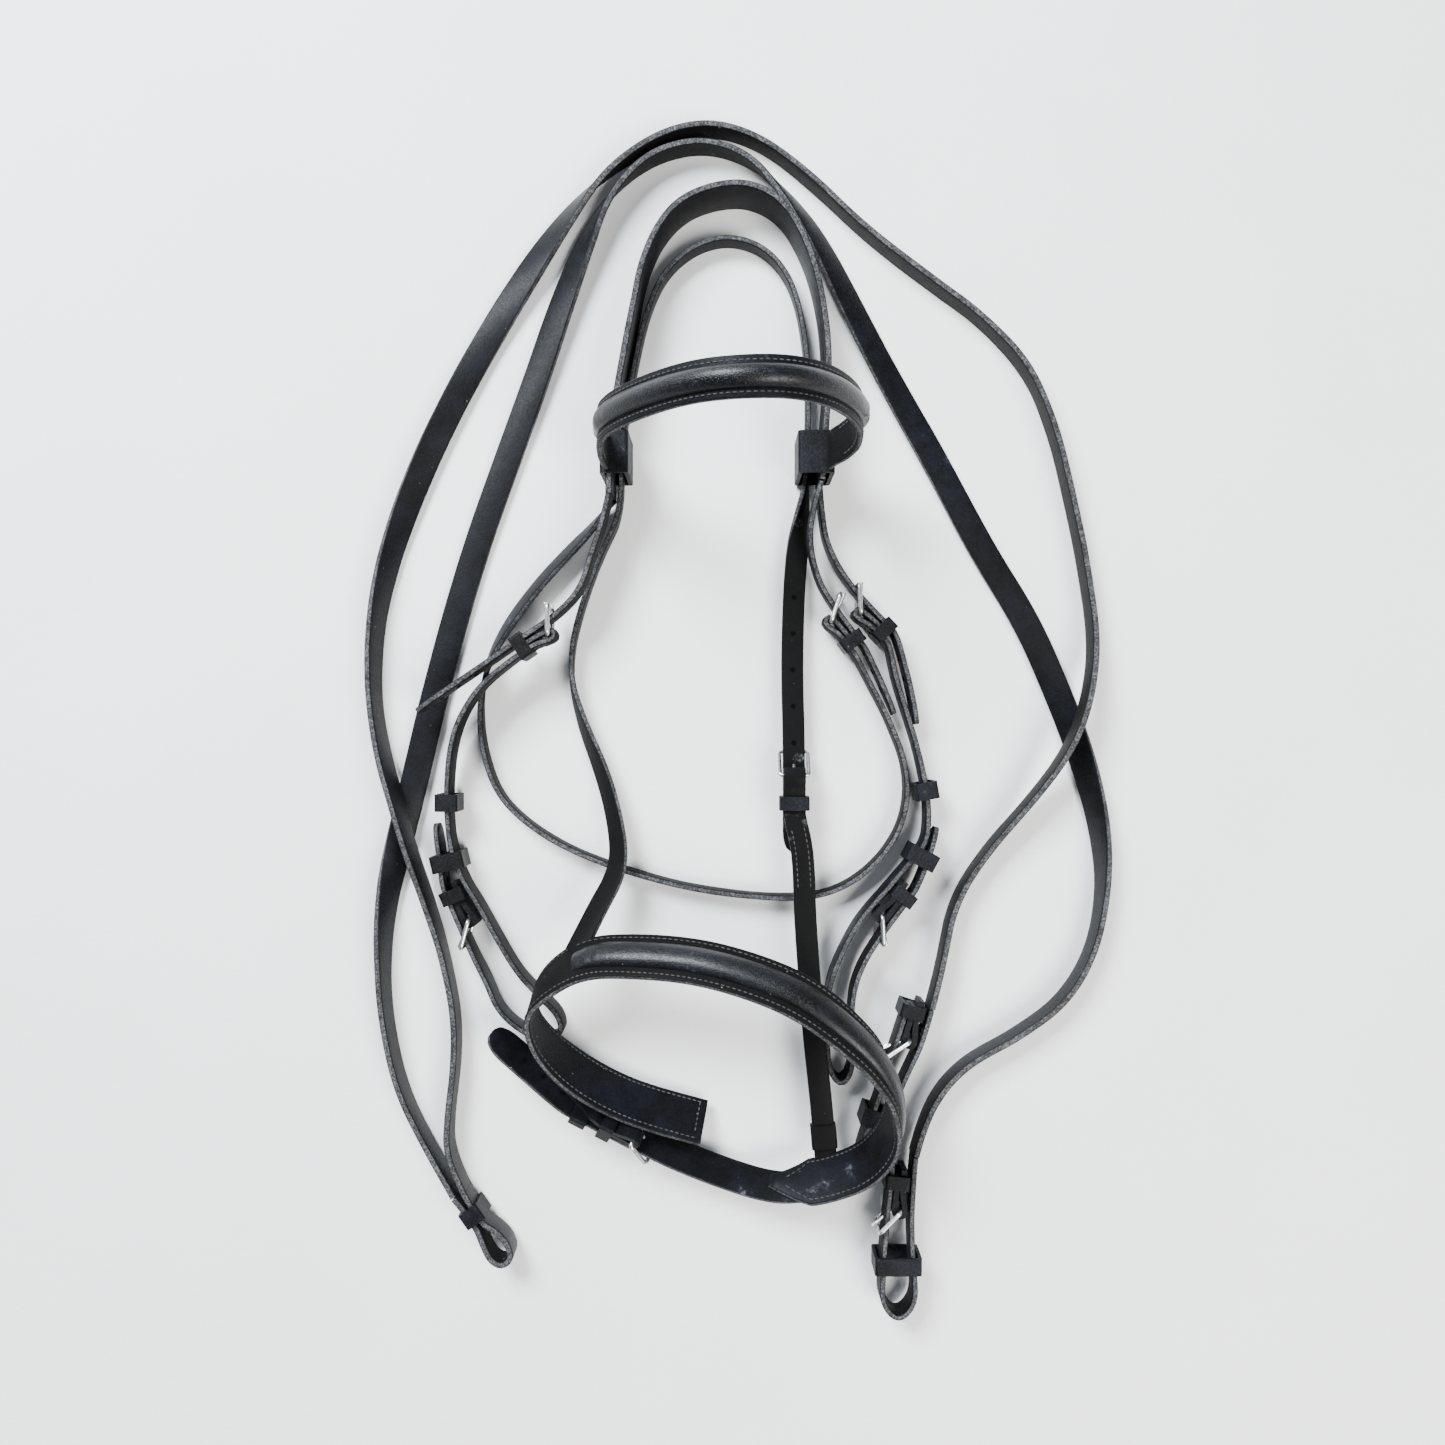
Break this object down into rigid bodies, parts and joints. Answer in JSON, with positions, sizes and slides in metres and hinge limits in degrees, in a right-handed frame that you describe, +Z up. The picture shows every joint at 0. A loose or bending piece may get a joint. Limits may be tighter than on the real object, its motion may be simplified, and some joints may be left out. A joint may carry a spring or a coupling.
{
  "type": "horse bridle without bit",
  "caption": "Black leather bridle laid flat for storage: headstall with raised browband and padded noseband, throatlash, buckled cheek straps and long reins, no bit.",
  "frame": {"origin": "on the floor, under the middle of the headstall's outline, reins left out", "axes": "+Z up from the floor, +Y towards the crown, +X towards the right in the view from above"},
  "size_m": [0.4409, 0.7033, 0.1465],
  "materials": {
    "leather": "black grained leather, worn satin, grey rubbed edges",
    "rein_leather": "black smooth rein leather, grey rubbed edges",
    "flesh_leather": "stitched lining, matte dark grey brown",
    "steel": "polished stainless steel with fine scratches"
  },
  "bodies": {
    "bridle": {"bit_chape_left": "leather", "bit_chape_right": "leather", "browband_band": "leather", "browband_loop_left": "leather", "browband_loop_right": "leather", "browband_roll": "leather", "buckle_bit_left": "steel", "buckle_bit_right": "steel", "buckle_cheek_left": "steel", "buckle_cheek_right": "steel", "buckle_headstrap": "steel", "buckle_noseband": "steel", "buckle_rein_inner": "steel", "buckle_rein_outer": "steel", "buckle_throat": "steel", "cheekpiece_left": "leather", "cheekpiece_right": "leather", "headpiece": "leather", "keeper_bit_left": "leather", "keeper_bit_right": "leather", "keeper_cheek_left": "leather", "keeper_cheek_right": "leather", "keeper_hand": "rein_leather", "keeper_headstrap": "leather", "keeper_noseband": "leather", "keeper_rein_inner": "rein_leather", "keeper_rein_outer": "rein_leather", "keeper_throat": "leather", "noseband_billet": "leather", "noseband_chape": "leather", "noseband_cheek_strap": "leather", "noseband_headstrap": "leather", "noseband_lining": "flesh_leather", "noseband_roll": "leather", "rein_billet_inner": "rein_leather", "rein_billet_outer": "rein_leather", "rein_chape_inner": "rein_leather", "rein_chape_outer": "rein_leather", "rein_hand_loop": "rein_leather", "rein_inner": "rein_leather", "rein_outer": "rein_leather"},
    "tongue_cheek_left": {"tongue_cheek_left": "steel"},
    "tongue_throat": {"tongue_throat": "steel"},
    "tongue_cheek_right": {"tongue_cheek_right": "steel"},
    "tongue_bit_left": {"tongue_bit_left": "steel"},
    "tongue_bit_right": {"tongue_bit_right": "steel"},
    "tongue_noseband": {"tongue_noseband": "steel"},
    "tongue_headstrap": {"tongue_headstrap": "steel"},
    "tongue_rein_outer": {"tongue_rein_outer": "steel"},
    "tongue_rein_inner": {"tongue_rein_inner": "steel"},
    "runner_cheek_left": {"runner_cheek_left": "leather"},
    "runner_cheek_right": {"runner_cheek_right": "leather"},
    "runner_bit_left": {"runner_bit_left": "leather"},
    "runner_bit_right": {"runner_bit_right": "leather"},
    "runner_rein_outer": {"runner_rein_outer": "rein_leather"},
    "runner_rein_inner": {"runner_rein_inner": "rein_leather"},
    "runner_noseband": {"runner_noseband": "leather"}
  },
  "joints": [
    {"name": "tongue_cheek_left_hinge", "type": "hinge", "parent": "bridle", "child": "tongue_cheek_left", "pos_m": [-0.07504, 0.06968, 0.024], "axis": [0, 0, 1], "range_deg": [0, 30]},
    {"name": "tongue_throat_hinge", "type": "hinge", "parent": "bridle", "child": "tongue_throat", "pos_m": [0.08863, 0.07806, 0.012], "axis": [0, 0, -1], "range_deg": [0, 30]},
    {"name": "tongue_cheek_right_hinge", "type": "hinge", "parent": "bridle", "child": "tongue_cheek_right", "pos_m": [0.10576, 0.08264, 0.012], "axis": [0, 0, -1], "range_deg": [0, 30]},
    {"name": "tongue_bit_left_hinge", "type": "hinge", "parent": "bridle", "child": "tongue_bit_left", "pos_m": [-0.12273, -0.09613, 0.012], "axis": [0, 0, -1], "range_deg": [0, 30]},
    {"name": "tongue_bit_right_hinge", "type": "hinge", "parent": "bridle", "child": "tongue_bit_right", "pos_m": [0.11819, -0.09365, 0.012], "axis": [0, 0, 1], "range_deg": [0, 30]},
    {"name": "tongue_noseband_hinge", "type": "hinge", "parent": "bridle", "child": "tongue_noseband", "pos_m": [-0.02416, -0.21772, 0.02072], "axis": [0.3208, 0.6162, -0.7193], "range_deg": [0, 30]},
    {"name": "tongue_headstrap_hinge", "type": "hinge", "parent": "bridle", "child": "tongue_headstrap", "pos_m": [0.06713, -0.01165, 0.0198], "axis": [-1, 0, 0], "range_deg": [0, 30]},
    {"name": "tongue_rein_outer_hinge", "type": "hinge", "parent": "bridle", "child": "tongue_rein_outer", "pos_m": [0.13416, -0.16668, 0.012], "axis": [0, 0, -1], "range_deg": [0, 30]},
    {"name": "tongue_rein_inner_hinge", "type": "hinge", "parent": "bridle", "child": "tongue_rein_inner", "pos_m": [0.12859, -0.266, 0.012], "axis": [0, 0, -1], "range_deg": [0, 30]},
    {"name": "runner_cheek_left_slide", "type": "slide", "parent": "bridle", "child": "runner_cheek_left", "axis": [0, -1, 0], "range_m": [-0.003, 0.003]},
    {"name": "runner_cheek_right_slide", "type": "slide", "parent": "bridle", "child": "runner_cheek_right", "axis": [0.1736, -0.9848, 0], "range_m": [-0.003, 0.003]},
    {"name": "runner_bit_left_slide", "type": "slide", "parent": "bridle", "child": "runner_bit_left", "axis": [-0.225, 0.9744, 0], "range_m": [-0.003, 0.003]},
    {"name": "runner_bit_right_slide", "type": "slide", "parent": "bridle", "child": "runner_bit_right", "axis": [0.4695, 0.8829, 0], "range_m": [-0.003, 0.003]},
    {"name": "runner_rein_outer_slide", "type": "slide", "parent": "bridle", "child": "runner_rein_outer", "axis": [0.309, 0.9511, 0], "range_m": [-0.003, 0.003]},
    {"name": "runner_rein_inner_slide", "type": "slide", "parent": "bridle", "child": "runner_rein_inner", "axis": [0, 1, 0], "range_m": [-0.003, 0.003]},
    {"name": "runner_noseband_slide", "type": "slide", "parent": "bridle", "child": "runner_noseband", "axis": [-0.887, 0.4617, 0], "range_m": [-0.003, 0.003]}
  ]
}
